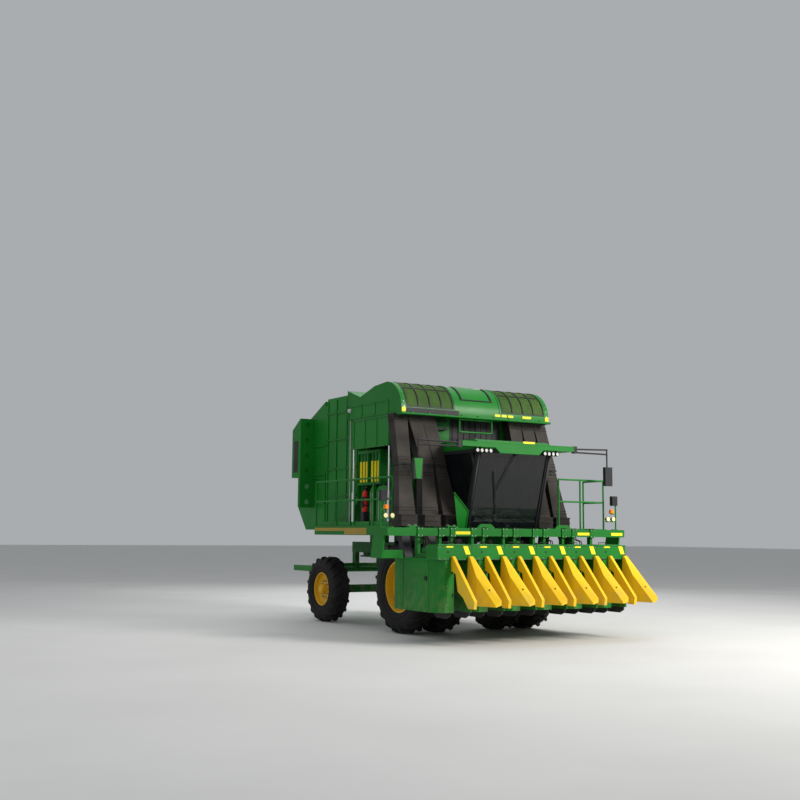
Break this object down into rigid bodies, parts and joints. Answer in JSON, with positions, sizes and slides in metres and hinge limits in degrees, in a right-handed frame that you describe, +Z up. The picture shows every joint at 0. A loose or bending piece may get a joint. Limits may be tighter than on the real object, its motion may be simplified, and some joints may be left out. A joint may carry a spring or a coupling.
{
  "type": "cotton harvester",
  "caption": "Self-propelled harvester for cotton: row units with yellow dividers in front, cab, suction ducts, curved-front accumulator and a round-module chamber on dual and guide wheels",
  "frame": {"origin": "centre of the bounding box, on the ground", "axes": "+Z up, the machine faces -Y, its right-hand side is -X"},
  "size_m": [6.06, 9.78, 5.38],
  "materials": {
    "frame_paint": "satin",
    "dark_metal": "matte",
    "dark_green_paint": "satin",
    "dark_plastic": "matte",
    "green_paint": "gloss",
    "window_glass": "gloss",
    "duct_rubber": "matte",
    "screen_mesh": "matte",
    "rod_chrome": "polished",
    "belt_rubber": "matte",
    "yellow_plastic": "gloss",
    "bare_steel": "brushed",
    "tyre_rubber": "matte",
    "yellow_paint": "gloss"
  },
  "bodies": {
    "machine": {"chassis": "frame_paint", "drive_axle": "frame_paint", "guide_axle": "frame_paint", "engine": "dark_metal", "cooling_pack": "dark_green_paint", "cab_frame": "dark_plastic", "cab_roof": "green_paint", "cab_glass": "window_glass", "cab_interior": "dark_plastic", "ducts": "duct_rubber", "accumulator": "green_paint", "curved_screens": "screen_mesh", "lift_rods": "rod_chrome", "feeder_box": "dark_green_paint", "chamber": "dark_green_paint", "chamber_belts": "belt_rubber", "decks": "green_paint", "handrails": "green_paint", "tanks": "green_paint", "mirrors": "dark_plastic", "lamps": "dark_plastic"},
    "door": {"cab_door": "dark_plastic", "door_glass": "window_glass"},
    "step_ladder": {"ladder": "green_paint"},
    "header": {"header_beam": "green_paint", "drum_housings": "green_paint", "unit_hoods": "green_paint", "side_panels": "green_paint", "dividers": "yellow_plastic", "grid_bars": "bare_steel", "suction_necks": "dark_metal", "skid_shoes": "dark_metal"},
    "picking_drum_1": {"drum_1": "bare_steel"},
    "picking_drum_2": {"drum_2": "bare_steel"},
    "picking_drum_3": {"drum_3": "bare_steel"},
    "picking_drum_4": {"drum_4": "bare_steel"},
    "picking_drum_5": {"drum_5": "bare_steel"},
    "picking_drum_6": {"drum_6": "bare_steel"},
    "module_gate": {"gate": "dark_green_paint"},
    "module_handler": {"handler": "green_paint"},
    "drive_wheels_right": {"drive_tyres_right": "tyre_rubber", "drive_rims_right": "yellow_paint"},
    "steering_knuckle_right": {"knuckle_right": "dark_metal"},
    "guide_wheel_right": {"guide_tyre_right": "tyre_rubber", "guide_rim_right": "yellow_paint"},
    "drive_wheels_left": {"drive_tyres_left": "tyre_rubber", "drive_rims_left": "yellow_paint"},
    "steering_knuckle_left": {"knuckle_left": "dark_metal"},
    "guide_wheel_left": {"guide_tyre_left": "tyre_rubber", "guide_rim_left": "yellow_paint"}
  },
  "joints": [
    {"name": "door_hinge", "type": "hinge", "parent": "machine", "child": "door", "pos_m": [0.916, -2.632, 3], "axis": [0, 0, 1], "range_deg": [-75, 0]},
    {"name": "ladder_hinge", "type": "hinge", "parent": "machine", "child": "step_ladder", "pos_m": [2.045, 0.015, 2.13], "axis": [0, 1, 0], "range_deg": [-90, 0]},
    {"name": "header_lift", "type": "hinge", "parent": "machine", "child": "header", "pos_m": [0, -1.26, 1.43], "axis": [1, 0, 0], "range_deg": [0, 12]},
    {"name": "drum_spin_1", "type": "hinge", "parent": "header", "child": "picking_drum_1", "pos_m": [-2.32, -3.78, 1.1], "axis": [0, 0, 1], "continuous": true},
    {"name": "drum_spin_2", "type": "hinge", "parent": "header", "child": "picking_drum_2", "pos_m": [-1.54, -3.78, 1.1], "axis": [0, 0, 1], "continuous": true},
    {"name": "drum_spin_3", "type": "hinge", "parent": "header", "child": "picking_drum_3", "pos_m": [-0.76, -3.78, 1.1], "axis": [0, 0, 1], "continuous": true},
    {"name": "drum_spin_4", "type": "hinge", "parent": "header", "child": "picking_drum_4", "pos_m": [0.02, -3.78, 1.1], "axis": [0, 0, 1], "continuous": true},
    {"name": "drum_spin_5", "type": "hinge", "parent": "header", "child": "picking_drum_5", "pos_m": [0.8, -3.78, 1.1], "axis": [0, 0, 1], "continuous": true},
    {"name": "drum_spin_6", "type": "hinge", "parent": "header", "child": "picking_drum_6", "pos_m": [1.58, -3.78, 1.1], "axis": [0, 0, 1], "continuous": true},
    {"name": "gate_hinge", "type": "hinge", "parent": "machine", "child": "module_gate", "pos_m": [0, 2.38, 5.28], "axis": [1, 0, 0], "range_deg": [0, 65]},
    {"name": "handler_hinge", "type": "hinge", "parent": "machine", "child": "module_handler", "pos_m": [0, 3.05, 1.3], "axis": [1, 0, 0], "range_deg": [-28, 8]},
    {"name": "drive_axle_right", "type": "hinge", "parent": "machine", "child": "drive_wheels_right", "pos_m": [-1, -1.41, 0.975], "axis": [1, 0, 0], "continuous": true},
    {"name": "steer_right", "type": "hinge", "parent": "machine", "child": "steering_knuckle_right", "pos_m": [-1.18, 2.19, 0.765], "axis": [0, 0, 1], "range_deg": [-25, 25]},
    {"name": "guide_axle_right", "type": "hinge", "parent": "steering_knuckle_right", "child": "guide_wheel_right", "pos_m": [-1.56, 2.19, 0.765], "axis": [1, 0, 0], "continuous": true},
    {"name": "drive_axle_left", "type": "hinge", "parent": "machine", "child": "drive_wheels_left", "pos_m": [1, -1.41, 0.975], "axis": [1, 0, 0], "continuous": true},
    {"name": "steer_left", "type": "hinge", "parent": "machine", "child": "steering_knuckle_left", "pos_m": [1.18, 2.19, 0.765], "axis": [0, 0, 1], "range_deg": [-25, 25]},
    {"name": "guide_axle_left", "type": "hinge", "parent": "steering_knuckle_left", "child": "guide_wheel_left", "pos_m": [1.56, 2.19, 0.765], "axis": [1, 0, 0], "continuous": true}
  ],
  "couplings": [
    {"joint": "steer_left", "follows": "steer_right", "ratio": 1}
  ]
}
